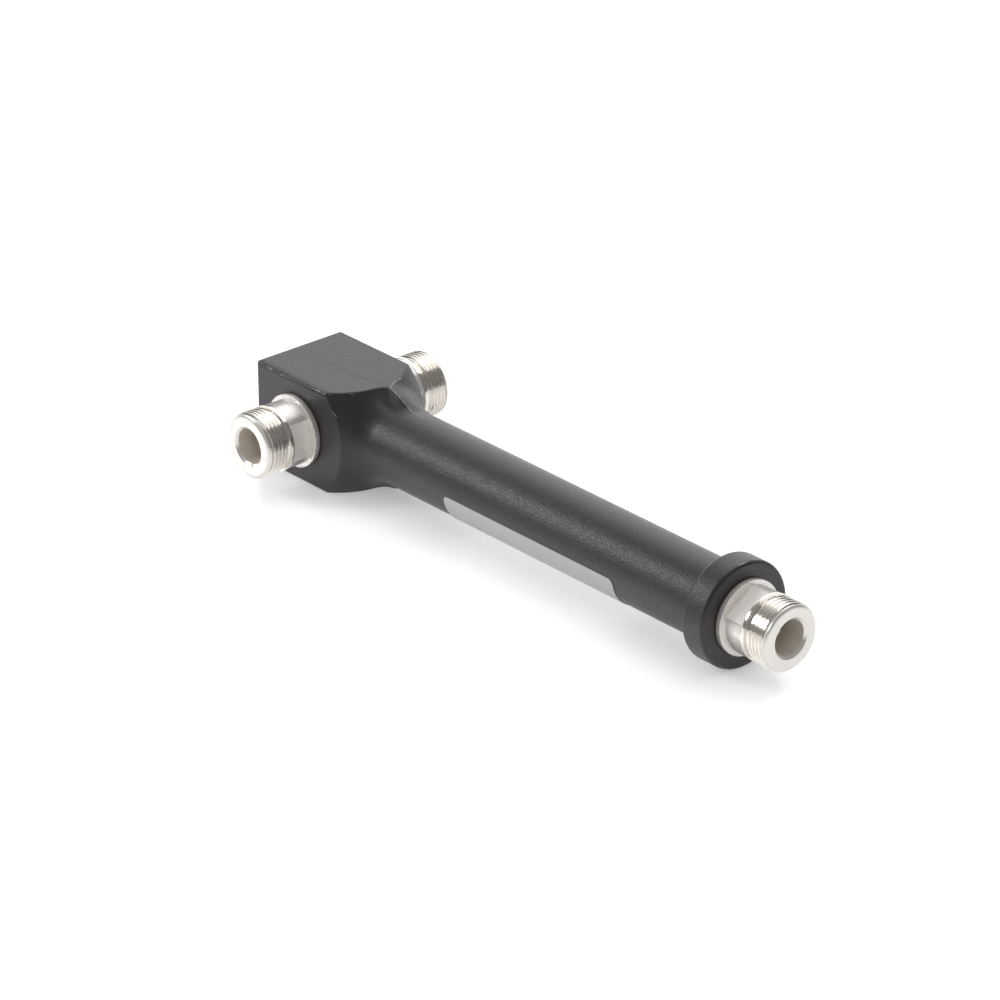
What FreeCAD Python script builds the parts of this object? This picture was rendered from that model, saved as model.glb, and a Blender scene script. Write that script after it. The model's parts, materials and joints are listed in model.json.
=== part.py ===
"""Two-way coaxial power splitter.

One cast body with a square head, a turned barrel and a collar carries three threaded jacks.
A stepped centre conductor runs through the barrel and joins the contacts of all three jacks.
Local frame of the construction: X along the barrel with 0 on the axis of the two output jacks,
Y along that axis, Z up with 0 on the barrel's axis. Every finished piece is then placed so that
the splitter stands on Z = 0 with its box centred on X = 0 and Y = 0. Millimetres throughout.
"""

import FreeCAD, Part
import math
import os

import Sketcher
from FreeCAD import Placement, Rotation, Vector

doc = FreeCAD.newDocument("power_splitter")

# Driving dimensions

SIZES = [
    ("stock_side", 25.4, "height and width of the square head"),
    ("port_to_back", 14.5, "output axis to the head's back face"),
    ("port_to_front", 137.4, "output axis to the collar's front face"),
    ("edge_round", 0.8, "rounding of the head's straight edges"),
    ("shoulder_radius", 20.45, "ball shape turned on the head, centred on the output axis"),
    ("neck_radius", 9.0, "hollow curve between the shoulder and the barrel"),
    ("cover_end", 8.0, "the head is left square up to here"),
    ("shoulder_round", 0.5, "rounding where the shoulder meets the head's flat sides"),
    ("keel_height", 2.4, "most that the parting line stands proud of the neck"),
    ("keel_offset", 0.6, "parting line from the middle plane, towards the far side"),
    ("keel_foot", 3.0, "middle plane to the foot of the keel on the near side"),
    ("keel_start", 13.5, "where the parting keel starts"),
    ("keel_end", 26.3, "where the parting keel has run out into the barrel"),
    ("tube_dia", 18.55, "outside of the barrel"),
    ("collar_dia", 25.2, "outside of the collar"),
    ("collar_length", 6.7, "collar, along the barrel"),
    ("collar_round", 0.9, "rounding of the collar's edges"),
    ("cavity_dia", 14.0, "bore for the centre conductor and for the jacks' spigots"),
    ("back_wall", 5.5, "wall left behind the cavity"),
    ("fit_clearance", 0.04, "radial gap between a turned piece and its bore"),
    ("jack_projection", 14.4, "face of the body to the front of a jack"),
    ("washer_thickness", 0.3, "sealing washer under each jack"),
    ("washer_inset", 0.1, "sealing washer's rim inside the flange's rim"),
    ("flange_dia", 17.6, "round flange of the jack"),
    ("flange_thickness", 1.1, "flange, along the jack"),
    ("flange_bevel", 0.2, "bevel on both rims of the flange"),
    ("wrench_dia", 15.6, "round part between the flange and the thread"),
    ("wrench_length", 5.6, "round part with the flats, along the jack"),
    ("across_flats", 12.6, "between the two wrench flats"),
    ("thread_dia", 15.875, "major diameter of the coupling thread, 5/8-24"),
    ("shoulder_length", 0.9, "plain ring before the thread"),
    ("relief_dia", 14.7, "groove behind the thread"),
    ("relief_width", 0.7, "groove behind the thread, along the jack"),
    ("nose_round", 1.2, "rounding from the thread to the front face"),
    ("mating_bore", 8.1, "bore that takes the plug's outer contact"),
    ("mating_depth", 9.1, "front face to the electrical reference plane"),
    ("lead_in_dia", 8.5, "mouth of the taper that leads a plug into the bore"),
    ("lead_in_depth", 1.8, "front face to the end of that taper"),
    ("mouth_chamfer", 0.6, "chamfer in front of the taper"),
    ("line_bore", 7.0, "bore behind the reference plane"),
    ("seat_bore", 9.6, "rear bore that takes the insulator and its ring"),
    ("seat_depth", 1.0, "how far the rear bore reaches in front of the mounting face"),
    ("spigot_length", 5.0, "part of the jack inside the body"),
    ("insulator_thickness", 3.0, "insulator bead in a jack"),
    ("contact_dia", 3.04, "socket contact of a jack"),
    ("contact_tip", 4.2, "tip of the contact in front of the reference plane"),
    ("contact_hole", 1.65, "hole for the plug's pin"),
    ("contact_hole_depth", 5.0, "depth of that hole"),
    ("contact_slot", 0.3, "width of the slots that make the socket springy"),
    ("contact_slot_depth", 3.6, "depth of those slots"),
    ("stud_dia", 2.5, "stud that screws into the centre conductor"),
    ("stud_length", 2.5, "engagement of the stud"),
    ("step_one_dia", 8.8, "centre conductor at the junction"),
    ("step_two_dia", 7.8, "centre conductor, middle step"),
    ("step_three_dia", 6.6, "centre conductor at the input"),
    ("step_length", 41.0, "quarter wave, length of one step"),
    ("conductor_overhang", 5.0, "conductor past the output axis"),
    ("bead_width", 4.0, "support bead, along the conductor"),
    ("bead_place", 20.0, "bead centre from the nearer end of its step"),
    ("label_start", 48.3, "output axis to the near end of the label"),
    ("label_length", 56.8, "label, along the barrel"),
    ("label_thickness", 0.15, "label stock"),
    ("label_top_angle", 3.5, "label's upper edge below the horizontal, degrees"),
    ("label_wrap", 135.0, "angle that the label wraps round the barrel, degrees"),
    ("label_corner", 1.4, "rounded corners of the label"),
    ("near_flat_angle", 4.2, "turn of the wrench flats of the near output jack, degrees"),
    ("far_flat_angle", 20.0, "turn of the wrench flats of the far output jack, degrees"),
    ("input_flat_angle", 33.0, "turn of the wrench flats of the input jack, degrees"),
]

sheet = doc.addObject("Spreadsheet::Sheet", "Sizes")
for row, (alias, size, meaning) in enumerate(SIZES, start=1):
    sheet.set("A%d" % row, meaning)
    sheet.set("B%d" % row, str(size))
    sheet.setAlias("B%d" % row, alias)
doc.recompute()


def named(text):
    """An expression on the sheet's aliases, written without the sheet's name."""
    for alias, size, meaning in sorted(SIZES, key=lambda entry: -len(entry[0])):
        text = text.replace("<" + alias + ">", "Sizes." + alias)
    return text


def value(text):
    """Present value of an expression on the sheet's aliases."""
    return float(sheet.evalExpression(named(text)))


def bind(target, prop, text):
    """Ties a property of an object to an expression on the sheet's aliases."""
    target.setExpression(prop, named(text))


# Places worked out from the driving dimensions

TOLERANCE = 1e-6
PORT_X = "((<port_to_back> - <port_to_front> - <jack_projection>) / 2)"
AXIS_Z = "(<stock_side> / 2)"
TUBE_R = "(<tube_dia> / 2)"
CAVITY_R = "(<cavity_dia> / 2)"
REFERENCE = "(<jack_projection> - <mating_depth>)"
FLANGE_FRONT = "(<washer_thickness> + <flange_thickness>)"
WRENCH_FRONT = "(" + FLANGE_FRONT + " + <wrench_length>)"
THREAD_START = "(" + WRENCH_FRONT + " + <shoulder_length> + <relief_width>)"
CONTACT_BACK = "(<step_one_dia> / 2 - <stock_side> / 2)"
CONDUCTOR_FRONT = "(<port_to_front> + " + CONTACT_BACK + ")"
NECK_END = ("sqrt((<shoulder_radius> + <neck_radius>)^2 - (" + TUBE_R + " + <neck_radius>)^2)")
NECK_JOIN = "(" + NECK_END + " * <shoulder_radius> / (<shoulder_radius> + <neck_radius>))"


def constrain_point(sketch, geometry, vertex, across, along):
    """Holds one vertex of a sketch at (across, along), both given as expressions."""
    for kind, axis, text in (("DistanceX", -2, across), ("DistanceY", -1, along)):
        if text == "0":
            sketch.addConstraint(Sketcher.Constraint("PointOnObject", geometry, vertex, axis))
        else:
            index = sketch.addConstraint(
                Sketcher.Constraint(kind, -1, 1, geometry, vertex, value(text)))
            bind(sketch, "Constraints[%d]" % index, text)


def origin_plane(body, role):
    """One of the three planes of a body's own origin."""
    return [item for item in body.Origin.OriginFeatures if item.Role == role][0]


def new_body(label):
    body = doc.addObject("PartDesign::Body", label)
    body.Label = label
    return body


def new_sketch(body, label, role):
    sketch = body.newObject("Sketcher::SketchObject", label)
    sketch.AttachmentSupport = [(origin_plane(body, role), "")]
    sketch.MapMode = "FlatFace"
    return sketch


def add_polygon(sketch, corners):
    """A closed outline of straight lines, each corner held by its two expressions."""
    first = sketch.GeometryCount
    count = len(corners)
    points = [Vector(value(across), value(along), 0) for across, along in corners]
    for i in range(count):
        sketch.addGeometry(Part.LineSegment(points[i], points[(i + 1) % count]), False)
    for i in range(count):
        following = first + (i + 1) % count
        sketch.addConstraint(Sketcher.Constraint("Coincident", first + i, 2, following, 1))
    for i, (across, along) in enumerate(corners):
        constrain_point(sketch, first + i, 1, across, along)


def turned_body(label, corners):
    """A body turned about its own Z axis from a half section of (radius, height) corners."""
    body = new_body(label)
    sketch = new_sketch(body, label + "_section", "XZ_Plane")
    add_polygon(sketch, corners)
    turning = body.newObject("PartDesign::Revolution", label + "_turning")
    turning.Profile = sketch
    turning.ReferenceAxis = (sketch, ["V_Axis"])
    turning.Angle = 360
    body.Tip = turning
    doc.recompute()
    return body


def place(piece, rotation, x, y, z):
    """Puts a finished piece at its place, tied to the sheet."""
    piece.Placement = Placement(Vector(value(x), value(y), value(z)), rotation)
    for axis, text in (("x", x), ("y", y), ("z", z)):
        bind(piece, "Placement.Base." + axis, text)


# Cast body: square head

stock = new_body("head_stock")
square = new_sketch(stock, "head_square", "YZ_Plane")
HALF = "<stock_side> / 2"
add_polygon(square, [("-" + HALF, "-" + HALF), (HALF, "-" + HALF), (HALF, HALF), ("-" + HALF, HALF)])
bar = stock.newObject("PartDesign::Pad", "head_bar")
bar.Profile = square
bind(bar, "Length", "<keel_end> + <port_to_back>")
bind(square, "AttachmentOffset.Base.z", "-<port_to_back>")
doc.recompute()


def straight_head_edges(shape, back):
    """Names of the bar's long edges and of the edges round its back face."""
    names = []
    for number, edge in enumerate(shape.Edges, start=1):
        ends = [vertex.Point.x for vertex in edge.Vertexes]
        is_long = abs(ends[0] - ends[1]) > value("<edge_round>")
        at_back = max(ends) < back + TOLERANCE
        if is_long or at_back:
            names.append("Edge%d" % number)
    return names


head_rounding = stock.newObject("PartDesign::Fillet", "head_rounding")
head_rounding.Base = (bar, straight_head_edges(bar.Shape, -value("<port_to_back>")))
bind(head_rounding, "Radius", "<edge_round>")
stock.Tip = head_rounding
doc.recompute()

# Cast body: ball shoulder and hollow neck, with the parting keel above and below


def neck_stations():
    """Pairs of (place along the barrel, half width of the neck there), as expressions."""
    stations = []
    ball_count = 4
    for i in range(ball_count + 1):
        along = "(<cover_end> + (%s - <cover_end>) * %d / %d)" % (NECK_JOIN, i, ball_count)
        stations.append((along, "sqrt(<shoulder_radius>^2 - %s^2)" % along))
    hollow_count = 5
    join_angle = "asin((%s - %s) / <neck_radius>)" % (NECK_END, NECK_JOIN)
    for i in range(1, hollow_count + 1):
        angle = "(%s * %d / %d)" % (join_angle, hollow_count - i, hollow_count)
        along = "(%s - <neck_radius> * sin(%s))" % (NECK_END, angle)
        stations.append((along, "(%s + <neck_radius> - <neck_radius> * cos(%s))" % (TUBE_R, angle)))
    run_out_count = 2
    for i in range(1, run_out_count + 1):
        along = "(%s + (<keel_end> - %s) * %d / %d)" % (NECK_END, NECK_END, i, run_out_count)
        stations.append((along, TUBE_R))
    return stations


def keel_rise(along):
    """How far the parting keel stands proud of the neck at a place along the barrel."""
    share = "((%s - <keel_start>) / (<keel_end> - <keel_start>))" % along
    if not 0.001 < value(share) < 0.999:
        return "0"
    return "(<keel_height> * sin(180 * %s)^1.5)" % share


def neck_section(number, along, half_width):
    """A closed section across the neck: a round near half, and a far half drawn up to the keel.

    The near half is an arc about the barrel's axis up to the keel's foot. A flank that leaves the
    arc along its tangent rises from the foot to the keel. The far half is one arc through the keel
    above, the widest point of the side and the keel below.
    """
    place_x = value(along)
    width = value(half_width)
    foot = value("<keel_foot>")
    offset = value("<keel_offset>")
    rise = value(keel_rise(along))
    foot_height = math.sqrt(width ** 2 - foot ** 2)
    keel = math.sqrt(width ** 2 - offset ** 2) + rise
    middle = (offset - foot) / 2
    tangent_height = foot_height + (middle + foot) * foot / foot_height

    def at(y, z):
        return Vector(place_x, y, z)

    def flank(side):
        """From the foot to the keel on the underside, and back from the keel on top."""
        ends = (at(-foot, side * foot_height), at(offset, side * keel))
        if side > 0:
            ends = (ends[1], ends[0])
        if rise == 0:
            round_height = math.sqrt(width ** 2 - middle ** 2)
            return Part.Arc(ends[0], at(middle, side * round_height), ends[1]).toShape()
        curve = Part.BezierCurve()
        curve.setPoles([ends[0], at(middle, side * tangent_height), ends[1]])
        return curve.toShape()

    near_side = Part.Arc(at(-foot, foot_height), at(-width, 0), at(-foot, -foot_height)).toShape()
    far_side = Part.Arc(at(offset, -keel), at(width, 0), at(offset, keel)).toShape()
    section = doc.addObject("Part::Feature", "neck_section_%d" % number)
    section.Shape = Part.Wire([near_side, flank(-1), far_side, flank(1)])
    return section


sections = [neck_section(i, along, width) for i, (along, width) in enumerate(neck_stations())]
doc.recompute()
neck = doc.addObject("Part::Loft", "neck_form")
neck.Sections = sections
neck.Solid = True
neck.Ruled = False

cover = doc.addObject("Part::Box", "head_cover")
for prop in ("Width", "Height"):
    bind(cover, prop, "<stock_side> * 2")
bind(cover, "Length", "<cover_end> + <stock_side>")
bind(cover, "Placement.Base.x", "-<stock_side>")
bind(cover, "Placement.Base.y", "-<stock_side>")
bind(cover, "Placement.Base.z", "-<stock_side>")

envelope = doc.addObject("Part::Fuse", "head_envelope")
envelope.Base = cover
envelope.Tool = neck
turned_head = doc.addObject("Part::Common", "turned_head")
turned_head.Base = stock
turned_head.Tool = envelope
doc.recompute()


def shoulder_edges(shape):
    """Numbers of the edges where the shoulder meets the flat and rounded sides of the head."""
    numbers = []
    for number, edge in enumerate(shape.Edges, start=1):
        kinds = [type(face.Surface) for face in shape.ancestorsOfType(edge, Part.Face)]
        box = edge.BoundBox
        on_neck = kinds.count(Part.BSplineSurface) == 1
        if on_neck and box.XMin > value("<cover_end>") and box.XMax < value(NECK_END):
            numbers.append(number)
    return numbers


head = doc.addObject("Part::Fillet", "head")
head.Base = turned_head
rounding = value("<shoulder_round>")
head.Edges = [(number, rounding, rounding) for number in shoulder_edges(turned_head.Shape)]
doc.recompute()

# Cast body: barrel and collar

COLLAR_BACK = "(<port_to_front> - <collar_length>)"
barrel = turned_body("barrel", [
    ("0", "<keel_end>"),
    (TUBE_R, "<keel_end>"),
    (TUBE_R, COLLAR_BACK),
    ("<collar_dia> / 2", COLLAR_BACK),
    ("<collar_dia> / 2", "<port_to_front>"),
    ("0", "<port_to_front>"),
])


def rim_edges(shape, radius):
    """Names of the round edges with the given radius."""
    names = []
    for number, edge in enumerate(shape.Edges, start=1):
        curve = edge.Curve
        if isinstance(curve, Part.Circle) and abs(curve.Radius - radius) < TOLERANCE:
            names.append("Edge%d" % number)
    return names


collar_edges = rim_edges(barrel.Tip.Shape, value("<collar_dia> / 2"))
barrel_turning = barrel.Tip
collar_rounding = barrel.newObject("PartDesign::Fillet", "collar_rounding")
collar_rounding.Base = (barrel_turning, collar_edges)
bind(collar_rounding, "Radius", "<collar_round>")
barrel.Tip = collar_rounding
barrel.Placement = Placement(Vector(0, 0, 0), Rotation(Vector(0, 1, 0), 90))
doc.recompute()

# Cast body: cavity and the two output bores

cavity = doc.addObject("Part::Cylinder", "cavity")
bind(cavity, "Radius", CAVITY_R)
bind(cavity, "Height", "<port_to_front> + <port_to_back>")
cavity.Placement = Placement(Vector(0, 0, 0), Rotation(Vector(0, 1, 0), 90))
bind(cavity, "Placement.Base.x", "<back_wall> - <port_to_back>")

output_bore = doc.addObject("Part::Cylinder", "output_bore")
bind(output_bore, "Radius", CAVITY_R)
bind(output_bore, "Height", "<stock_side> * 2")
output_bore.Placement = Placement(Vector(0, 0, 0), Rotation(Vector(1, 0, 0), 90))
bind(output_bore, "Placement.Base.y", "<stock_side>")

casting = doc.addObject("Part::Fuse", "casting")
casting.Base = head
casting.Tool = barrel
bores = doc.addObject("Part::Fuse", "bores")
bores.Base = cavity
bores.Tool = output_bore
body = doc.addObject("Part::Cut", "body")
body.Base = casting
body.Tool = bores
place(body, Rotation(), PORT_X, "0 * <stock_side>", AXIS_Z)
doc.recompute()

# Label: a strip that wraps round the underside of the barrel

label = new_body("label")
band = new_sketch(label, "label_band", "YZ_Plane")
INNER = TUBE_R
OUTER = "(" + TUBE_R + " + <label_thickness>)"


def band_point(radius, angle):
    return (radius + " * cos(" + angle + ")", radius + " * sin(" + angle + ")")


START_ANGLE = "(180 + <label_top_angle>)"
END_ANGLE = "(180 + <label_top_angle> + <label_wrap>)"
band_ends = []
for radius in (INNER, OUTER):
    arc = Part.ArcOfCircle(Part.Circle(Vector(0, 0, 0), Vector(0, 0, 1), value(radius)),
                           math.radians(value(START_ANGLE)),
                           math.radians(value(END_ANGLE)))
    band.addGeometry(arc, False)
    band_ends.append((arc.StartPoint, arc.EndPoint))
for end in (0, 1):
    band.addGeometry(Part.LineSegment(band_ends[0][end], band_ends[1][end]), False)
for arc_number in (0, 1):
    band.addConstraint(Sketcher.Constraint("Coincident", arc_number, 3, -1, 1))
for line_number, arc_end in ((2, 1), (3, 2)):
    band.addConstraint(Sketcher.Constraint("Coincident", line_number, 1, 0, arc_end))
    band.addConstraint(Sketcher.Constraint("Coincident", line_number, 2, 1, arc_end))
for arc_number, radius in ((0, INNER), (1, OUTER)):
    constrain_point(band, arc_number, 1, *band_point(radius, START_ANGLE))
    end_across = band_point(radius, END_ANGLE)[0]
    index = band.addConstraint(
        Sketcher.Constraint("DistanceX", -1, 1, arc_number, 2, value(end_across)))
    bind(band, "Constraints[%d]" % index, end_across)
strip = label.newObject("PartDesign::Pad", "label_strip")
strip.Profile = band
bind(strip, "Length", "<label_length>")
doc.recompute()


def corner_edges(shape):
    """Names of the short radial edges at the strip's four corners."""
    names = []
    for number, edge in enumerate(shape.Edges, start=1):
        if isinstance(edge.Curve, Part.Line) and edge.Length < 2 * value("<label_thickness>"):
            names.append("Edge%d" % number)
    return names


label_corners = label.newObject("PartDesign::Fillet", "label_corners")
label_corners.Base = (strip, corner_edges(strip.Shape))
bind(label_corners, "Radius", "<label_corner>")
label.Tip = label_corners
place(label, Rotation(), PORT_X + " + <label_start>", "0 * <stock_side>", AXIS_Z)
doc.recompute()

# Centre conductor: three steps, a blind hole in its end and one on each side of the junction

STEP_ONE_END = "(<step_length>)"
STEP_TWO_END = "(2 * <step_length>)"
STUD_DEPTH = "(<stud_length> + 0.3)"
conductor = turned_body("centre_conductor", [
    ("0", "-<conductor_overhang>"),
    ("<step_one_dia> / 2", "-<conductor_overhang>"),
    ("<step_one_dia> / 2", STEP_ONE_END),
    ("<step_two_dia> / 2", STEP_ONE_END),
    ("<step_two_dia> / 2", STEP_TWO_END),
    ("<step_three_dia> / 2", STEP_TWO_END),
    ("<step_three_dia> / 2", CONDUCTOR_FRONT),
    ("<stud_dia> / 2 + <fit_clearance>", CONDUCTOR_FRONT),
    ("<stud_dia> / 2 + <fit_clearance>", CONDUCTOR_FRONT + " - " + STUD_DEPTH),
    ("0", CONDUCTOR_FRONT + " - " + STUD_DEPTH),
])
conductor.Label = "conductor_turning"
conductor.Placement = Placement(Vector(0, 0, 0), Rotation(Vector(0, 1, 0), 90))
side_holes = []
for side, turn in (("near", 90), ("far", -90)):
    hole = doc.addObject("Part::Cylinder", "stud_hole_" + side)
    bind(hole, "Radius", "<stud_dia> / 2 + <fit_clearance>")
    bind(hole, "Height", "<step_one_dia>")
    hole.Placement = Placement(Vector(0, 0, 0), Rotation(Vector(1, 0, 0), turn))
    sign = "-1" if side == "near" else "1"
    bind(hole, "Placement.Base.y", "%s * (<step_one_dia> / 2 - %s)" % (sign, STUD_DEPTH))
    side_holes.append(hole)
stud_holes = doc.addObject("Part::Fuse", "stud_holes")
stud_holes.Base, stud_holes.Tool = side_holes
centre_conductor = doc.addObject("Part::Cut", "centre_conductor_drilled")
centre_conductor.Label = "centre_conductor"
centre_conductor.Base = conductor
centre_conductor.Tool = stud_holes
place(centre_conductor, Rotation(), PORT_X, "0 * <stock_side>", AXIS_Z)
doc.recompute()

# Support beads that centre the conductor in the cavity


def support_bead(name, hole, middle):
    """An insulating ring between the conductor and the cavity, centred at middle."""
    inner = "(%s / 2 + <fit_clearance>)" % hole
    outer = "(%s - <fit_clearance>)" % CAVITY_R
    half = "<bead_width> / 2"
    bead = turned_body(name, [
        (inner, "-" + half),
        (outer, "-" + half),
        (outer, half),
        (inner, half),
    ])
    place(bead, Rotation(Vector(0, 1, 0), 90), PORT_X + " + " + middle, "0 * <stock_side>", AXIS_Z)
    return bead


beads = [
    support_bead("junction_bead", "<step_one_dia>", "<bead_place>"),
    support_bead("middle_bead", "<step_two_dia>", "(%s + <bead_place>)" % STEP_ONE_END),
    support_bead("input_bead", "<step_three_dia>", "(%s - <bead_place>)" % CONDUCTOR_FRONT),
]

# Jacks: each has a shell, a sealing washer, an insulator, a retaining ring and a contact

SPIGOT_R = "(" + CAVITY_R + " - <fit_clearance>)"
SEAT_R = "(<seat_bore> / 2)"
INSULATOR_BACK = "(<seat_depth> - <insulator_thickness>)"
CONTACT_R = "(<contact_dia> / 2)"
TIP = "(" + REFERENCE + " + <contact_tip>)"


def jack_shell(name):
    """The nickel plated shell. The coupling thread is drawn as a plain cylinder."""
    shell = turned_body(name, [
        (SEAT_R, "-<spigot_length>"),
        (SPIGOT_R, "-<spigot_length>"),
        (SPIGOT_R, "<washer_thickness>"),
        ("<flange_dia> / 2 - <flange_bevel>", "<washer_thickness>"),
        ("<flange_dia> / 2", "<washer_thickness> + <flange_bevel>"),
        ("<flange_dia> / 2", FLANGE_FRONT + " - <flange_bevel>"),
        ("<flange_dia> / 2 - <flange_bevel>", FLANGE_FRONT),
        ("<wrench_dia> / 2", FLANGE_FRONT),
        ("<wrench_dia> / 2", WRENCH_FRONT),
        ("<thread_dia> / 2", WRENCH_FRONT),
        ("<thread_dia> / 2", WRENCH_FRONT + " + <shoulder_length>"),
        ("<relief_dia> / 2", WRENCH_FRONT + " + <shoulder_length>"),
        ("<relief_dia> / 2", THREAD_START),
        ("<thread_dia> / 2", THREAD_START),
        ("<thread_dia> / 2", "<jack_projection>"),
        ("<lead_in_dia> / 2 + <mouth_chamfer>", "<jack_projection>"),
        ("<lead_in_dia> / 2", "<jack_projection> - <mouth_chamfer>"),
        ("<mating_bore> / 2", "<jack_projection> - <lead_in_depth>"),
        ("<mating_bore> / 2", REFERENCE),
        ("<line_bore> / 2", REFERENCE),
        ("<line_bore> / 2", "<seat_depth>"),
        (SEAT_R, "<seat_depth>"),
    ])
    turning = shell.Tip
    front = value("<jack_projection>") - TOLERANCE
    rims = rim_edges(turning.Shape, value("<thread_dia> / 2"))
    front_rim = [rim for rim in rims if turning.Shape.getElement(rim).BoundBox.ZMax > front]
    nose = shell.newObject("PartDesign::Fillet", name + "_nose")
    nose.Base = (turning, front_rim)
    bind(nose, "Radius", "<nose_round>")
    shell.Tip = nose
    doc.recompute()
    flats = new_sketch(shell, name + "_flats_outline", "XY_Plane")
    bind(flats, "AttachmentOffset.Base.z", WRENCH_FRONT)
    for side in ("", "-"):
        inner, outer = side + "<across_flats> / 2", side + "<flange_dia>"
        ends = ("-<flange_dia>", "<flange_dia>")
        add_polygon(flats, [(inner, ends[0]), (outer, ends[0]), (outer, ends[1]), (inner, ends[1])])
    milling = shell.newObject("PartDesign::Pocket", name + "_flats")
    milling.Profile = flats
    bind(milling, "Length", "<wrench_length>")
    shell.Tip = milling
    doc.recompute()
    return shell


def jack_contact(name):
    """The springy socket contact, slotted at its tip, with a stud at its back."""
    contact = turned_body(name, [
        ("0", CONTACT_BACK + " - <stud_length>"),
        ("<stud_dia> / 2", CONTACT_BACK + " - <stud_length>"),
        ("<stud_dia> / 2", CONTACT_BACK),
        (CONTACT_R, CONTACT_BACK),
        (CONTACT_R, TIP),
        ("<contact_hole> / 2", TIP),
        ("<contact_hole> / 2", TIP + " - <contact_hole_depth>"),
        ("0", TIP + " - <contact_hole_depth>"),
    ])
    long_half, short_half = "<contact_dia>", "<contact_slot> / 2"
    for number, (across, along) in enumerate(((long_half, short_half), (short_half, long_half))):
        outline = new_sketch(contact, "%s_slot_outline_%d" % (name, number), "XY_Plane")
        bind(outline, "AttachmentOffset.Base.z", TIP)
        left, low = "-" + across, "-" + along
        add_polygon(outline, [(left, low), (across, low), (across, along), (left, along)])
        slot = contact.newObject("PartDesign::Pocket", "%s_slot_%d" % (name, number))
        slot.Profile = outline
        bind(slot, "Length", "<contact_slot_depth>")
        contact.Tip = slot
        doc.recompute()
    return contact


def ring(name, inner, outer, back, front):
    return turned_body(name, [(inner, back), (outer, back), (outer, front), (inner, front)])


def jack(prefix, turn_out, flat_angle, x, y):
    """All pieces of one jack, built along +Z from the mounting face and then turned outwards."""
    washer_rim = "(<flange_dia> / 2 - <washer_inset>)"
    around_contact = "(" + CONTACT_R + " + <fit_clearance>)"
    in_seat = "(" + SEAT_R + " - <fit_clearance>)"
    pieces = [
        jack_shell(prefix + "_shell"),
        ring(prefix + "_washer", CAVITY_R, washer_rim, "0", "<washer_thickness>"),
        ring(prefix + "_insulator", around_contact, in_seat, INSULATOR_BACK, "<seat_depth>"),
        ring(prefix + "_retaining_ring", "<line_bore> / 2", in_seat, "-<spigot_length>", INSULATOR_BACK),
        jack_contact(prefix + "_contact"),
    ]
    for piece in pieces:
        place(piece, turn_out.multiply(Rotation(Vector(0, 0, 1), value(flat_angle))), x, y, AXIS_Z)
    return pieces


TO_NEAR = Rotation(Vector(1, 0, 0), 90)
TO_FAR = Rotation(Vector(1, 0, 0), -90)
TO_INPUT = Rotation(Vector(0, 1, 0), 90)
jacks = jack("near_output", TO_NEAR, "<near_flat_angle>", PORT_X, "-<stock_side> / 2")
jacks += jack("far_output", TO_FAR, "<far_flat_angle>", PORT_X, "<stock_side> / 2")
jacks += jack("input", TO_INPUT, "<input_flat_angle>", PORT_X + " + <port_to_front>", "0 * <stock_side>")
doc.recompute()

# Check every object, then write each piece

pieces = [body, label, centre_conductor] + beads + jacks
for item in doc.Objects:
    if "Invalid" in item.State or "Error" in item.State:
        raise RuntimeError("failed object: %s %s" % (item.Label, item.State))
for piece in pieces:
    shape = piece.Shape
    if shape.isNull() or not shape.isValid() or len(shape.Solids) != 1:
        raise RuntimeError("bad shape: " + piece.Label)

os.makedirs("parts", exist_ok=True)
for piece in pieces:
    piece.Shape.exportStep("parts/%s.step" % piece.Label)
    box = piece.Shape.BoundBox
    print("%-26s volume %9.2f  x %8.3f %8.3f  y %8.3f %8.3f  z %8.3f %8.3f" % (
        piece.Label, piece.Shape.Volume, box.XMin, box.XMax, box.YMin, box.YMax, box.ZMin, box.ZMax))
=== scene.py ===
# %% [markdown]
# # Dressing a coaxial power splitter
# The splitter is a black powder-coated casting with three bright nickel jacks. Its solids come from
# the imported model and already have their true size, so this lesson adds what a solid lacks: cut
# threads, turned and plated metal, the grain of the powder coat, worn edges and soft studio light.

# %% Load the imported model
import json
import math

import bpy
from mathutils import Matrix, Vector


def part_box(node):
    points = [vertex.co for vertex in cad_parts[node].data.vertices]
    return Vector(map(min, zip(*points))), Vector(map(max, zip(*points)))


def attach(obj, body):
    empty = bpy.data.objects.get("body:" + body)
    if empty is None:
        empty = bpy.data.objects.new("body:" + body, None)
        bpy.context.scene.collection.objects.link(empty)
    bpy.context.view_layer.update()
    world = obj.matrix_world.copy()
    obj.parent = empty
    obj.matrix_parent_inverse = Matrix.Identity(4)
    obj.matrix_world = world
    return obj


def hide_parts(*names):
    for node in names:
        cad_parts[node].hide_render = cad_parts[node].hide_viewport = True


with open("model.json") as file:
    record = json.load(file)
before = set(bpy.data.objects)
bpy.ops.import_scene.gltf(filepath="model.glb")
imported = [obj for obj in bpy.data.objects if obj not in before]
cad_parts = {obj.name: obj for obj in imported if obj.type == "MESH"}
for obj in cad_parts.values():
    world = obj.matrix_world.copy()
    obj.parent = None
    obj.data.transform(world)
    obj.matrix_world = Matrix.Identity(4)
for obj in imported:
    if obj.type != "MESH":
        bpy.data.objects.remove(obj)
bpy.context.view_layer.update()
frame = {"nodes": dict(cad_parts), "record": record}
MM = 0.001
nodes = frame["nodes"]
print("pieces in the frame:", len(nodes))

# %% [markdown]
# ## Where things are
# Every place is worked out from the model itself. The record's mounts give the axis of each jack,
# and the boxes of the washers give the faces that the jacks are screwed against.

# %% Axes and faces of the three jacks
mounts = {mount["name"]: mount for mount in frame["record"]["mounts"]}
JACKS = ("near_output", "far_output", "input")


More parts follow.
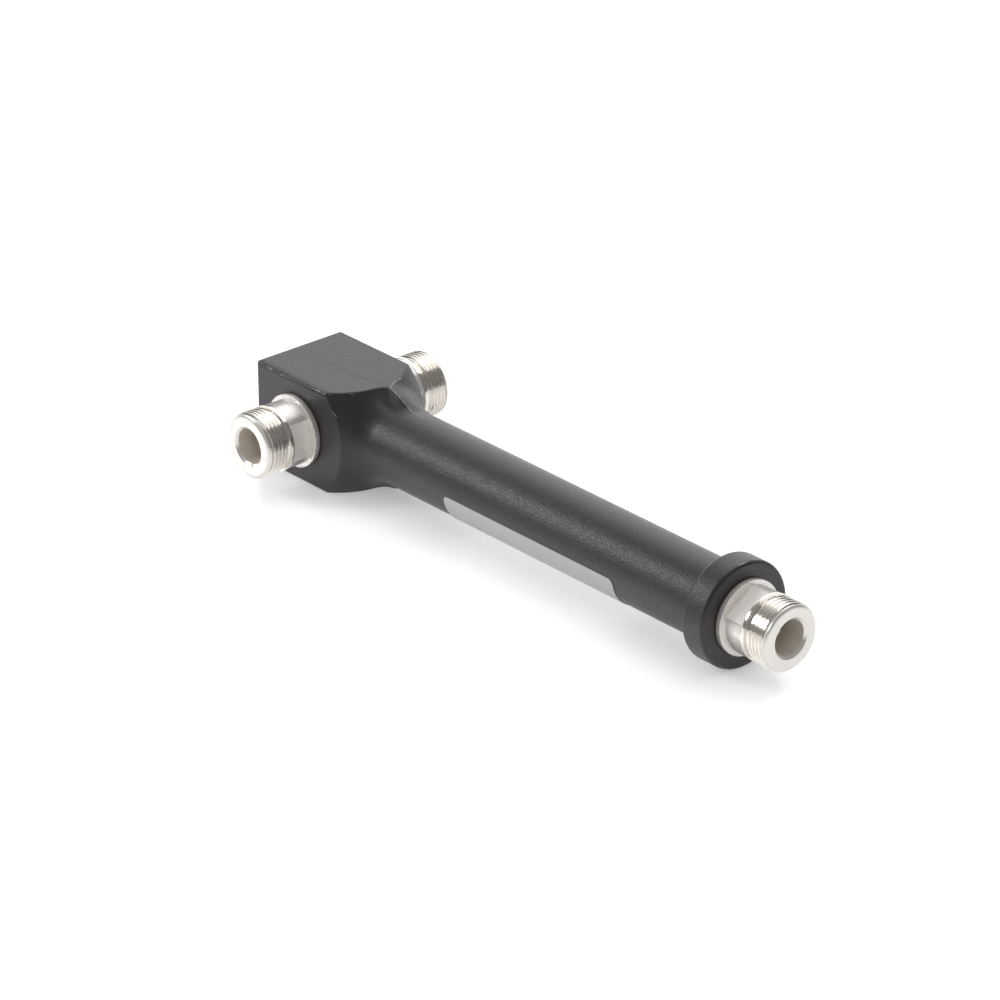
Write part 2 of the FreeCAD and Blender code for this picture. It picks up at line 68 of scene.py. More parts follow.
def jack_frame(jack):
    """The axis of a jack and the point where it leaves the body's face."""
    mount = mounts[jack + "_thread"]
    axis = Vector(mount["axis"])
    on_axis = Vector(mount["pos_m"])
    low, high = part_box(jack + "_washer")
    corner = low if sum(axis) < 0 else high
    outer = corner.dot(axis)
    thickness = abs((high - low).dot(axis))
    face = on_axis + axis * (outer - thickness - on_axis.dot(axis))
    return axis, face


for jack in JACKS:
    axis, face = jack_frame(jack)
    print(jack, "axis", tuple(axis), "face at", [round(c / MM, 3) for c in face])

# %% [markdown]
# ## Camera
# The camera stands where the photographer stood: high, far away, with a long lens. The distance
# and the angles were found by fitting the object's outlines, and are given here as a studio would.

# %% Long lens from the front right
CAMERA_AZIMUTH = 49.17
CAMERA_ELEVATION = 25.88
CAMERA_ROLL = -0.3
CAMERA_DISTANCE = 1201.5 * MM
CAMERA_LENS = 191.91
SENSOR_WIDTH = 36.0
AIM_FROM_OUTPUTS = 57.05 * MM
AIM_HEIGHT = 11.18 * MM

output_axis_x = mounts["near_output_thread"]["pos_m"][0]
aim = Vector((output_axis_x + AIM_FROM_OUTPUTS, 0.0, AIM_HEIGHT))


def camera_axes(azimuth, elevation, roll):
    """Right, up and back directions of a camera, from its angles in degrees."""
    turn, tilt, lean = (math.radians(angle) for angle in (azimuth, elevation, roll))
    back = Vector((math.sin(turn) * math.cos(tilt), -math.cos(turn) * math.cos(tilt), math.sin(tilt)))
    right = Vector((math.cos(turn), math.sin(turn), 0.0))
    up = back.cross(right)
    leaned_right = right * math.cos(lean) + up * math.sin(lean)
    leaned_up = up * math.cos(lean) - right * math.sin(lean)
    return leaned_right, leaned_up, back


right, up, back = camera_axes(CAMERA_AZIMUTH, CAMERA_ELEVATION, CAMERA_ROLL)
bpy.ops.object.camera_add()
camera = bpy.context.object
camera.name = "camera"
camera.data.lens = CAMERA_LENS
camera.data.sensor_width = SENSOR_WIDTH
camera.data.clip_end = 20.0
turned = Matrix((right, up, back)).transposed().to_4x4()
camera.matrix_world = Matrix.Translation(aim + back * CAMERA_DISTANCE) @ turned
bpy.context.scene.camera = camera
bpy.context.scene.view_settings.view_transform = "Standard"
print("camera at", [round(c, 3) for c in camera.location], "lens", CAMERA_LENS)

# %% [markdown]
# ## Small helpers
# A material is a graph of nodes. Two helpers keep the graphs short to write: one adds a node with
# its settings, the other gives a material its shader with the plain values set on it. The rest are
# for the nodes that come back in every finish: sums, noise, bumps and mixes of two colours.

# %% Node helpers
SHADER_SOCKETS = {
    "color": "Base Color", "metallic": "Metallic", "roughness": "Roughness", "ior": "IOR",
    "specular": "Specular IOR Level", "subsurface": "Subsurface Weight", "tint": "Specular Tint",
}
# Places of the colour sockets in a mix node: its sockets for plain values have the same names.
MIX_FIRST, MIX_SECOND, MIX_RESULT = 6, 7, 2


def node(tree, kind, inputs=None, **settings):
    """Adds a node, sets its properties and its unlinked inputs, and links the others."""
    made = tree.nodes.new(kind)
    for name, setting in settings.items():
        setattr(made, name, setting)
    for name, given in (inputs or {}).items():
        if isinstance(given, bpy.types.NodeSocket):
            tree.links.new(given, made.inputs[name])
        else:
            made.inputs[name].default_value = given
    return made


def material(name, **values):
    """A new material whose shader has the given values; returns its tree and its shader too."""
    made = bpy.data.materials.new(name)
    made.use_nodes = True
    tree = made.node_tree
    shader = tree.nodes["Principled BSDF"]
    for key, setting in values.items():
        shader.inputs[SHADER_SOCKETS[key]].default_value = setting
    return made, tree, shader


def scalar_math(tree, operation, first, second, **settings):
    made = node(tree, "ShaderNodeMath", {0: first, 1: second}, operation=operation, **settings)
    return made.outputs["Value"]


def vector_math(tree, operation, first, second, output="Vector"):
    made = node(tree, "ShaderNodeVectorMath", {0: first, 1: second}, operation=operation)
    return made.outputs[output]


def object_place(tree):
    """The place on the object, in metres."""
    return node(tree, "ShaderNodeTexCoord").outputs["Object"]


def noise(tree, place, scale, detail, **inputs):
    """Noise between 0 and 1, with so many waves to the metre."""
    given = {"Vector": place, "Scale": scale, "Detail": detail, **inputs}
    return node(tree, "ShaderNodeTexNoise", given).outputs["Fac"]


def remap(tree, value, start, end, low=0.0, high=1.0, **settings):
    """Carries the values from start to end over to those from low to high."""
    made = node(tree, "ShaderNodeMapRange", {
        "Value": value, "From Min": start, "From Max": end, "To Min": low, "To Max": high}, **settings)
    return made.outputs["Result"]


def mix_colours(tree, factor, first, second):
    made = node(tree, "ShaderNodeMix", {
        "Factor": factor, MIX_FIRST: first, MIX_SECOND: second}, data_type="RGBA")
    return made.outputs[MIX_RESULT]


def bump(tree, height, strength, depth, invert=False, **inputs):
    """A normal that makes the surface look as deep as the height says."""
    given = {"Height": height, "Strength": strength, "Distance": depth, **inputs}
    return node(tree, "ShaderNodeBump", given, invert=invert).outputs["Normal"]


def grey(level, warmth=0.0):
    """An opaque colour near grey; warmth above 0 leans to yellow."""
    return (level * (1 + warmth), level, level * (1 - warmth), 1.0)


def new_group(name, inputs, outputs):
    """An empty shader node group with named sockets and its two end nodes."""
    group = bpy.data.node_groups.new(name, "ShaderNodeTree")
    for direction, sockets in (("INPUT", inputs), ("OUTPUT", outputs)):
        for socket_name, socket_kind in sockets:
            group.interface.new_socket(
                socket_name, in_out=direction, socket_type="NodeSocket" + socket_kind)
    return group, group.nodes.new("NodeGroupInput"), group.nodes.new("NodeGroupOutput")


print("helpers ready")

# %% [markdown]
# ## Worn edges, as a group
# Paint and plating wear first on edges. A bevel node rounds the normal near an edge, so where it
# differs from the true normal there is an edge. Noise then breaks the line into small nicks.
# It is a node group that puts out a mask, so that any finish can use it.

# %% Edge wear group
BEVEL_SAMPLES = 6
WEAR_STARTS = 0.35
WEAR_ENDS = 0.6
wear, wear_in, wear_out = new_group(
    "edge_wear",
    [("Width", "Float"), ("Amount", "Float"), ("Grain", "Float")],
    [("Mask", "Float")])
rounded = node(wear, "ShaderNodeBevel", {"Radius": wear_in.outputs["Width"]}, samples=BEVEL_SAMPLES)
true_normal = node(wear, "ShaderNodeNewGeometry")
same = vector_math(
    wear, "DOT_PRODUCT", rounded.outputs["Normal"], true_normal.outputs["Normal"], "Value")
edge = scalar_math(wear, "SUBTRACT", 1.0, same)
nicks = noise(wear, object_place(wear), wear_in.outputs["Grain"], 3.0, Roughness=0.7)
strength = scalar_math(wear, "MULTIPLY", edge, wear_in.outputs["Amount"])
broken = scalar_math(wear, "MULTIPLY", strength, nicks)
mask = remap(wear, broken, WEAR_STARTS, WEAR_ENDS)
wear.links.new(mask, wear_out.inputs["Mask"])


def edge_wear(tree, width, amount, grain):
    """Places the group in a material and returns its mask."""
    placed = tree.nodes.new("ShaderNodeGroup")
    placed.node_tree = wear
    placed.inputs["Width"].default_value = width
    placed.inputs["Amount"].default_value = amount
    placed.inputs["Grain"].default_value = grain
    return placed.outputs["Mask"]


print("wear group has", len(wear.nodes), "nodes")

# %% [markdown]
# ## Marks, as a group
# The mould leaves a parting line, and handling leaves scratches; the same strokes also paint shade
# beside an edge and highlights along a ridge. Each is a short stroke from one point to another. The
# group puts out a mask that is 1 on the stroke and fades over its width.
# Keep chooses the directions in which the distance counts, so that a stroke with no height in it
# falls straight down on a curved surface. Side and Reach hold it to one side of the body.

# %% Stroke group
CORE_SHARE = 0.3
stroke, stroke_in, stroke_out = new_group(
    "stroke",
    [("Start", "Vector"), ("End", "Vector"), ("Keep", "Vector"), ("Side", "Vector"),
     ("Reach", "Float"), ("Width", "Float")],
    [("Mask", "Float")])
given = stroke_in.outputs
place = object_place(stroke)
kept = vector_math(stroke, "MULTIPLY", place, given["Keep"])
to_point = vector_math(stroke, "SUBTRACT", kept, given["Start"])
along = vector_math(stroke, "SUBTRACT", given["End"], given["Start"])
covered = vector_math(stroke, "DOT_PRODUCT", to_point, along, "Value")
whole = vector_math(stroke, "DOT_PRODUCT", along, along, "Value")
share = scalar_math(stroke, "DIVIDE", covered, whole, use_clamp=True)
nearest = node(stroke, "ShaderNodeVectorMath", {0: along, "Scale": share}, operation="SCALE")
gap = vector_math(stroke, "DISTANCE", to_point, nearest.outputs["Vector"], "Value")
core = scalar_math(stroke, "MULTIPLY", given["Width"], CORE_SHARE)
fade = remap(stroke, gap, given["Width"], core, interpolation_type="SMOOTHSTEP")
outwards = vector_math(stroke, "DOT_PRODUCT", place, given["Side"], "Value")
on_side = scalar_math(stroke, "GREATER_THAN", outwards, given["Reach"])
held = scalar_math(stroke, "MULTIPLY", fade, on_side)
stroke.links.new(held, stroke_out.inputs["Mask"])

# How a stroke is seen: the directions it keeps, its side of the body, and how far out that starts.
FACINGS = {
    "above": ((1, 1, 0), (0, 0, 1), 19.0 * MM),
    "anywhere": ((1, 1, 1), (0, 0, 1), 0.0),
}


def strokes(tree, marks):
    """One mask for a list of marks: facing, width, and the points that it passes, in mm.

    Points are counted from the axis of the two outputs, in X, and from the floor.
    """
    total = 0.0
    for facing, width, *points in marks:
        keep, side, reach = FACINGS[facing]
        ends = [(Vector(point) * MM + Vector((output_axis_x, 0, 0))) * Vector(keep) for point in points]
        for start, end in zip(ends, ends[1:]):
            placed = tree.nodes.new("ShaderNodeGroup")
            placed.node_tree = stroke
            for name, setting in (("Start", start), ("End", end), ("Keep", keep), ("Side", side),
                                  ("Reach", reach), ("Width", width * MM)):
                placed.inputs[name].default_value = setting
            total = scalar_math(tree, "MAXIMUM", placed.outputs["Mask"], total)
    return total


print("stroke group has", len(stroke.nodes), "nodes")

# %% [markdown]
# ## Black powder coat
# Powder coat is a thick, slightly pebbled plastic skin. It reflects softly: a dark warm base, a
# middling roughness, and a fine bump whose grains are about a third of a millimetre across. The
# parting line, the worn places, a painted shade beside the block's rounded top edge and painted
# highlights along the neck's ridge and the top face's far edge are strokes over it. Each is a list
# of its facing, its width and its points, all in millimetres.

# %% Powder coat
COAT_GRAIN = 2900.0
COAT_PATCHES = 140.0
COAT_SPECKS = 1500.0
COAT_ROUGHNESS = (0.31, 0.45)
GRAIN_DEPTH = 0.12 * MM
CREASE_DEPTH = 0.16 * MM
WEAR_WIDTH = 0.6 * MM
WEAR_AMOUNT = 3.0
WEAR_GRAIN = 900.0
COAT_DARK = (0.019, 0.0160, 0.0187, 1.0)
COAT_LIGHT = (0.026, 0.0222, 0.0256, 1.0)
COAT_TINT = (1.0, 0.95, 0.995, 1.0)
# Light grey for worn paint, and for painted highlights along the neck's ridge and the top face's far
# edge.
COAT_WORN_AND_HIGHLIGHT = (0.25, 0.24, 0.24, 1.0)
# Near black for the parting line and for a painted shade beside the block's rounded top edge.
COAT_SHADE_AND_SEAM = (0.003, 0.003, 0.003, 1.0)
# The first two strokes paint shade on both sides of the block's rounded top edge; the third is the
# parting line.
EDGE_SHADE_AND_SEAM = [
    ("above", 0.30, (-14.4, -11.80, 0), (11.2, -11.60, 0)),
    ("anywhere", 0.30, (-14.4, -12.7, 24.45), (12.0, -12.7, 24.55)),
    ("above", 0.09, (-3.0, -1.2, 0), (6.0, -1.3, 0), (17.6, 0.5, 0)),
]
# The first two strokes are painted highlights along the neck's ridge and the top face's far edge, partly
# worn paint too; the rest are nicks and rubbed places.
WORN_AND_HIGHLIGHTS = [
    ("above", 0.15, (17.7, 0.55, 0), (26.5, 0.6, 0), (31.0, 0.3, 0)),
    ("above", 0.17, (15.3, 6.4, 0), (16.1, 3.7, 0), (17.8, 0.8, 0)),
    ("anywhere", 0.34, (7.3, -12.5, 25.15), (8.3, -12.45, 25.2)),
    ("anywhere", 0.30, (10.3, -12.45, 25.2), (11.2, -12.4, 25.1)),
    ("anywhere", 0.30, (12.3, -12.4, 24.9), (13.1, -12.1, 24.6)),
    ("anywhere", 0.16, (13.4, -12.65, 21.6), (14.3, -12.25, 20.7)),
    ("anywhere", 0.20, (-10.4, -12.6, 24.9), (-8.8, -12.6, 24.8)),
    ("anywhere", 0.20, (-5.6, -12.65, 24.7), (-4.2, -12.6, 24.85)),
    ("anywhere", 0.14, (14.2, -7.9, 25.2), (14.6, -7.5, 25.0)),
    ("anywhere", 0.16, (136.9, -11.3, 20.7), (137.1, -10.6, 21.3)),
    ("anywhere", 0.18, (136.9, -1.5, 25.2), (136.9, 1.2, 25.25)),
]


def powder_coat():
    made, tree, shader = material("powder_coat_black", roughness=0.42, ior=1.56, tint=COAT_TINT)
    place = object_place(tree)
    grain = noise(tree, place, COAT_GRAIN, 2.0)
    patches = noise(tree, place, COAT_PATCHES, 3.0)
    specks = remap(tree, noise(tree, place, COAT_SPECKS, 2.0), 0.38, 0.55, low=0.15)
    shade = mix_colours(tree, patches, COAT_DARK, COAT_LIGHT)
    # Painted shade beside the top edge, and the parting line, in near black.
    shade_and_seam = strokes(tree, EDGE_SHADE_AND_SEAM)
    shaded_and_seamed = mix_colours(tree, shade_and_seam, shade, COAT_SHADE_AND_SEAM)
    # Worn paint and painted highlights, in light grey over the coat.
    rubbed_and_highlit = scalar_math(tree, "MULTIPLY", strokes(tree, WORN_AND_HIGHLIGHTS), specks)
    on_edges = edge_wear(tree, WEAR_WIDTH, WEAR_AMOUNT, WEAR_GRAIN)
    bare_and_highlit = scalar_math(tree, "MAXIMUM", rubbed_and_highlit, on_edges)
    tree.links.new(mix_colours(tree, bare_and_highlit, shaded_and_seamed, COAT_WORN_AND_HIGHLIGHT), shader.inputs["Base Color"])
    tree.links.new(remap(tree, grain, 0.3, 0.7, *COAT_ROUGHNESS), shader.inputs["Roughness"])
    groove = bump(tree, shade_and_seam, 1.0, CREASE_DEPTH, invert=True)
    pebbled = bump(tree, grain, 0.9, GRAIN_DEPTH, Normal=groove)
    tree.links.new(pebbled, shader.inputs["Normal"])
    return made


powder = powder_coat()
print("powder coat made, nodes:", len(powder.node_tree.nodes))

# %% [markdown]
# ## Plated and turned metals
# The shells are brass, turned on a lathe and plated with bright nickel. Nickel is bright where the
# metal under it is burnished, satin where it was only turned, soft on a milled flat, and dull in a
# bore, so it has four finishes. The contacts are silver. A lathe leaves fine rings round the axis,
# so each jack has its own materials: a Mapping node turns the pattern until its Z runs along that
# jack's axis. The softer a finish, the less it mirrors and the more light it scatters.

# %% Nickel, silver and brass
LATHE_RINGS = 9000.0
LATHE_DEPTH = 0.02 * MM
SMUDGES = 350.0


def turned_metal(name, colour, roughness, axis, centre, metallic=1.0):
    """A metal with fine lathe rings about an axis through a centre."""
    made, tree, shader = material(name, color=colour, roughness=roughness, metallic=metallic)
    place = object_place(tree)
    to_axis = axis.to_track_quat("Z", "Y").to_euler()
    turned_back = node(tree, "ShaderNodeMapping", {
        "Vector": place, "Location": centre, "Rotation": to_axis}, vector_type="TEXTURE")
    apart = node(tree, "ShaderNodeSeparateXYZ", {"Vector": turned_back.outputs["Vector"]})
    flat = node(tree, "ShaderNodeCombineXYZ", {"X": apart.outputs["X"], "Y": apart.outputs["Y"]})
    radius = node(tree, "ShaderNodeVectorMath", {0: flat.outputs["Vector"]}, operation="LENGTH")
    rings_at = node(tree, "ShaderNodeCombineXYZ", {"X": radius.outputs["Value"], "Y": apart.outputs["Z"]})
    rings = noise(tree, rings_at.outputs["Vector"], LATHE_RINGS, 2.0)
    smudge = noise(tree, place, SMUDGES, 3.0)
    gloss = remap(tree, smudge, 0.35, 0.7, roughness * 0.9, roughness * 1.25)
    tree.links.new(gloss, shader.inputs["Roughness"])
    tree.links.new(bump(tree, rings, 0.05, LATHE_DEPTH), shader.inputs["Normal"])
    return made


NICKEL = (0.86, 0.83, 0.78, 1.0)
SATIN_NICKEL = (0.81, 0.785, 0.745, 1.0)
DULL_BORE = (0.74, 0.69, 0.62, 1.0)
SILVER = (0.93, 0.92, 0.89, 1.0)
BRASS = (0.72, 0.52, 0.25, 1.0)
BRASS_ROUGHNESS = 0.28
# The metals of a jack, each with its colour, its roughness and how much of it is metal.
JACK_METALS = {
    "nickel": (NICKEL, 0.13, 0.88),
    "satin": (SATIN_NICKEL, 0.24, 0.6),
    "milled": (NICKEL, 0.42, 0.3),
    "bore": (DULL_BORE, 0.40, 0.55),
    "silver": (SILVER, 0.25, 0.3),
    "brass": (BRASS, BRASS_ROUGHNESS, 1.0),
}
metals = {}
for jack in JACKS:
    axis, face = jack_frame(jack)
    for kind, (colour, roughness, metallic) in JACK_METALS.items():
        metals[jack, kind] = turned_metal(jack + "_" + kind, colour, roughness, axis, face, metallic)
rod_brass = turned_metal("rod_brass", BRASS, BRASS_ROUGHNESS, Vector((1, 0, 0)), Vector((0, 0, aim.z)))
print("metals made:", len(metals) + 1)

# %% [markdown]
# ## Film, rubber and insulator
# The label is a satin silver-grey film, left bare. The washers are dark rubber and the insulators a
# milky fluoropolymer, which is slightly translucent.

# %% Plain finishes
DARKER = 0.92
LIGHTER = 1.06


def speckled(name, level, warmth, roughness, scale, depth, **values):
    """A finish with a fine bump and a little variation in its shade."""
    made, tree, shader = material(name, color=grey(level, warmth), roughness=roughness, **values)
    grain = noise(tree, object_place(tree), scale, 3.0)
    shade = mix_colours(
        tree, grain, grey(level * DARKER, warmth), grey(level * LIGHTER, warmth))
    tree.links.new(shade, shader.inputs["Base Color"])
    tree.links.new(bump(tree, grain, 0.3, depth), shader.inputs["Normal"])
    return made


film = speckled("label_film", 0.47, 0.0, 0.38, 1500.0, 0.01 * MM)
rubber = speckled("washer_rubber", 0.10, 0.35, 0.6, 2500.0, 0.04 * MM)
insulator = speckled("insulator_white", 0.8, 0.02, 0.45, 1200.0, 0.02 * MM, subsurface=0.1)
print("plain finishes made")

# %% [markdown]
# ## Finishes on the frame's pieces
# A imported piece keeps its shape; only its material slots change.

# %% Dress the frame's pieces


def dress(name, finish):
    slots = nodes[name].data.materials
    slots.clear()
    slots.append(finish)


dress("body", powder)
dress("label", film)
dress("centre_conductor", rod_brass)
for bead in ("junction_bead", "middle_bead", "input_bead"):
    dress(bead, insulator)
for jack in JACKS:
    dress(jack + "_shell", metals[jack, "nickel"])
    dress(jack + "_washer", rubber)
    dress(jack + "_insulator", insulator)
    dress(jack + "_retaining_ring", metals[jack, "brass"])
    dress(jack + "_contact", metals[jack, "silver"])
print("dressed", len(nodes), "pieces")

# %% [markdown]
# ## Jack shells with a real thread
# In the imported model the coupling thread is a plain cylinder, so the three shells are made again
# here with their thread. A lathe turns the blank: a circle is extruded and scaled from step to step
# of the section, and the last ring meets the first. Two blocks then mill the wrench flats.
# The thread could be painted as a bump, but its outline would stay straight, so it is a solid: a
# Screw modifier winds one tooth round the axis, an envelope cuts it to the rounded nose, and a
# Boolean joins it to the blank. The shell is made once, upright, and copied for the three jacks.

# %% Sizes of a shell, from its mounting face outwards
THREAD_RADIUS = 7.9375 * MM
THREAD_PITCH = 1.0583 * MM
THREAD_DEPTH = 0.62 * MM
FLANK_ANGLE = 30
CREST_WIDTH = 0.16 * MM
THREAD_CHAMFER = 0.4 * MM
TOOTH_SUNK = 0.2 * MM
ROUND_STEPS = 96
CUTTER_SIZE = 10.0 * MM
WELD = 0.001 * MM
JOINT_WELD = 0.003 * MM
EDGE_BREAK = 0.12 * MM
SPIGOT_END = -5.0 * MM
SPIGOT_RADIUS = 6.96 * MM
FLANGE_START = 0.3 * MM
FLANGE_END = 1.4 * MM
FLANGE_RADIUS = 8.8 * MM
WRENCH_END = 7.0 * MM
WRENCH_RADIUS = 7.8 * MM
ACROSS_FLATS = 12.6 * MM
RELIEF_START = 7.9 * MM
THREAD_START = 8.6 * MM
RELIEF_RADIUS = 7.35 * MM
THREAD_END = 13.2 * MM
JACK_FRONT = 14.4 * MM
NOSE_ROUND = JACK_FRONT - THREAD_END
BORE_RADIUS = 4.05 * MM
LEAD_IN_RADIUS = 4.25 * MM
LEAD_IN_DEPTH = 1.8 * MM
MOUTH_CHAMFER = 0.6 * MM
REFERENCE_PLANE = 5.3 * MM
LINE_RADIUS = 3.5 * MM
SEAT_FRONT = 1.0 * MM
SEAT_RADIUS = 4.8 * MM
LIP_START = 0.3 * MM
LIP_RISE = 0.2 * MM
LIP_RADIUS = 7.58 * MM
root_radius = THREAD_RADIUS - THREAD_DEPTH
print("thread turns:", round((THREAD_END - THREAD_START) / THREAD_PITCH, 2))

# %% Turning and cutting helpers


def start_editing():
    """Opens the active object in edit mode with everything selected."""
    bpy.ops.object.mode_set(mode="EDIT")
    bpy.ops.mesh.select_all(action="SELECT")


def finish_editing():
    """Points the selected faces outwards and leaves edit mode."""
    bpy.ops.mesh.normals_make_consistent(inside=False)
    bpy.ops.object.mode_set(mode="OBJECT")


def turn(name, section):
    """Turns a closed section of (radius, height) steps about Z and returns the object."""
    bpy.ops.object.select_all(action="DESELECT")
    first_radius, first_height = section[0]
    bpy.ops.mesh.primitive_circle_add(vertices=ROUND_STEPS, radius=first_radius, location=(0, 0, 0))
    start_editing()
    bpy.ops.transform.translate(value=(0, 0, first_height))
    radius, height = first_radius, first_height
    for next_radius, next_height in list(section[1:]) + [section[0]]:
        bpy.ops.mesh.extrude_region_move(TRANSFORM_OT_translate={"value": (0, 0, next_height - height)})
        scale = next_radius / radius
        bpy.ops.transform.resize(value=(scale, scale, 1), center_override=(0, 0, next_height))
        radius, height = next_radius, next_height
    bpy.ops.mesh.select_all(action="SELECT")
    bpy.ops.mesh.remove_doubles(threshold=WELD)
    finish_editing()
    made = bpy.context.object
    made.name = name
    return made


def combine(target, other, operation):
    """Applies a Boolean between two objects and deletes the second."""
    bpy.ops.object.select_all(action="DESELECT")
    target.select_set(True)
    bpy.context.view_layer.objects.active = target
    boolean = target.modifiers.new(operation.lower(), "BOOLEAN")
    boolean.object = other
    boolean.operation = operation
    boolean.solver = "EXACT"
    bpy.ops.object.modifier_apply(modifier=boolean.name)
    bpy.data.objects.remove(other)


print("helpers ready")

# %% The turned blank, with milled flats


def nose_point(angle):
    """A point of the rounding that leads from the thread to the front face."""
    turned_by = math.radians(angle)
    centre_radius = THREAD_RADIUS - NOSE_ROUND
    return (centre_radius + NOSE_ROUND * math.cos(turned_by),
            THREAD_END + NOSE_ROUND * math.sin(turned_by))


blank = turn("shell_blank", [
    (SEAT_RADIUS, SPIGOT_END),
    (SPIGOT_RADIUS, SPIGOT_END),
    (SPIGOT_RADIUS, FLANGE_START),
    (FLANGE_RADIUS, FLANGE_START),
    (FLANGE_RADIUS, FLANGE_END),
    (WRENCH_RADIUS, FLANGE_END),
    (WRENCH_RADIUS, WRENCH_END),
    (THREAD_RADIUS, WRENCH_END),
    (THREAD_RADIUS, RELIEF_START),
    (RELIEF_RADIUS, RELIEF_START),
    (RELIEF_RADIUS, THREAD_START),
    (root_radius, THREAD_START),
    (root_radius, THREAD_END + LIP_START),
    (LIP_RADIUS, THREAD_END + LIP_START + LIP_RISE),
    nose_point(44),
    nose_point(58),
    nose_point(74),
    nose_point(90),
    (LEAD_IN_RADIUS + MOUTH_CHAMFER, JACK_FRONT),
    (LEAD_IN_RADIUS, JACK_FRONT - MOUTH_CHAMFER),
    (BORE_RADIUS, JACK_FRONT - LEAD_IN_DEPTH),
    (BORE_RADIUS, REFERENCE_PLANE),
    (LINE_RADIUS, REFERENCE_PLANE),
    (LINE_RADIUS, SEAT_FRONT),
    (SEAT_RADIUS, SEAT_FRONT),
])
broken_edges = blank.modifiers.new("broken_edges", "BEVEL")
broken_edges.width = EDGE_BREAK
broken_edges.segments = 3
broken_edges.limit_method = "ANGLE"
broken_edges.angle_limit = math.radians(50)
bpy.ops.object.modifier_apply(modifier=broken_edges.name)
for side in (-1, 1):
    bpy.ops.object.select_all(action="DESELECT")
    middle = (side * (ACROSS_FLATS + CUTTER_SIZE) / 2, 0, (FLANGE_END + WRENCH_END) / 2)
    bpy.ops.mesh.primitive_cube_add(size=1, location=middle)
    block = bpy.context.object
    block.scale = (CUTTER_SIZE, 2 * CUTTER_SIZE, WRENCH_END - FLANGE_END)
    bpy.ops.object.transform_apply(location=True, rotation=False, scale=True)
    combine(blank, block, "DIFFERENCE")
print("blank faces:", len(blank.data.polygons))

# %% The thread
root_width = CREST_WIDTH + 2 * THREAD_DEPTH * math.tan(math.radians(FLANK_ANGLE))
buried_radius = root_radius - TOOTH_SUNK
bpy.ops.object.select_all(action="DESELECT")
bpy.ops.mesh.primitive_plane_add(size=1, location=(0, 0, 0))
thread = bpy.context.object
tooth = {
    (-1, -1): (buried_radius, -root_width / 2), (1, -1): (THREAD_RADIUS, -CREST_WIDTH / 2),
    (1, 1): (THREAD_RADIUS, CREST_WIDTH / 2), (-1, 1): (buried_radius, root_width / 2)}
for vertex in thread.data.vertices:
    corner = (round(vertex.co.x * 2), round(vertex.co.y * 2))
    radius, height = tooth[corner]
    vertex.co = (radius, 0, THREAD_START - THREAD_PITCH + height)
winding = thread.modifiers.new("winding", "SCREW")
winding.axis = "Z"
winding.steps = ROUND_STEPS
winding.render_steps = ROUND_STEPS
winding.screw_offset = THREAD_PITCH
winding.iterations = math.ceil((JACK_FRONT - THREAD_START) / THREAD_PITCH) + 2
bpy.ops.object.modifier_apply(modifier=winding.name)
start_editing()
bpy.ops.mesh.remove_doubles(threshold=WELD)
bpy.ops.mesh.select_all(action="DESELECT")
bpy.ops.mesh.select_non_manifold()
bpy.ops.mesh.fill_holes(sides=0)
bpy.ops.mesh.select_all(action="SELECT")
finish_editing()
envelope_inside = root_radius - 2 * TOOTH_SUNK
envelope_end = nose_point(38)[1]
envelope = turn("thread_envelope", [
    (envelope_inside, THREAD_START),
    (root_radius, THREAD_START),
    (THREAD_RADIUS, THREAD_START + THREAD_CHAMFER),
    (THREAD_RADIUS, THREAD_END),
    nose_point(18),
    nose_point(36),
    (LIP_RADIUS - TOOTH_SUNK / 2, envelope_end),
    (envelope_inside, envelope_end),
])
combine(thread, envelope, "INTERSECT")
combine(blank, thread, "UNION")
start_editing()
bpy.ops.mesh.remove_doubles(threshold=JOINT_WELD)
finish_editing()
print("shell faces:", len(blank.data.polygons))

# %% [markdown]
# The thread's flanks are burnished, the rest of the shell is satin, the wrench flats are milled, and
# the bore is duller still. A face gets its finish by its place on the upright shell.

# %% Bright, satin, milled and dull faces
FINISHES = ("nickel", "satin", "milled", "bore")
BRIGHT, SATIN, MILLED, DULL = range(len(FINISHES))
ON_FLAT = 0.01 * MM
SIDEWAYS = 0.99
for kind in FINISHES:
    blank.data.materials.append(metals[JACKS[0], kind])
for face in blank.data.polygons:
    centre, normal = face.center, face.normal
    radius = math.hypot(centre.x, centre.y)
    face.material_index = SATIN
    if abs(normal.x) > SIDEWAYS and abs(abs(centre.x) - ACROSS_FLATS / 2) < ON_FLAT:
        face.material_index = MILLED
    elif radius < LEAD_IN_RADIUS and centre.z > REFERENCE_PLANE:
        face.material_index = DULL
    elif WRENCH_END < centre.z < THREAD_END + LIP_START and radius > LEAD_IN_RADIUS + MOUTH_CHAMFER:
        face.material_index = BRIGHT
print("milled faces:", sum(face.material_index == MILLED for face in blank.data.polygons))

# %% A shell for each jack
SMOOTH_UP_TO = 35
AXIS_TURNS = {
    "near_output": Matrix.Rotation(math.radians(90), 4, "X"),
    "far_output": Matrix.Rotation(math.radians(-90), 4, "X"),
    "input": Matrix.Rotation(math.radians(90), 4, "Y"),
}
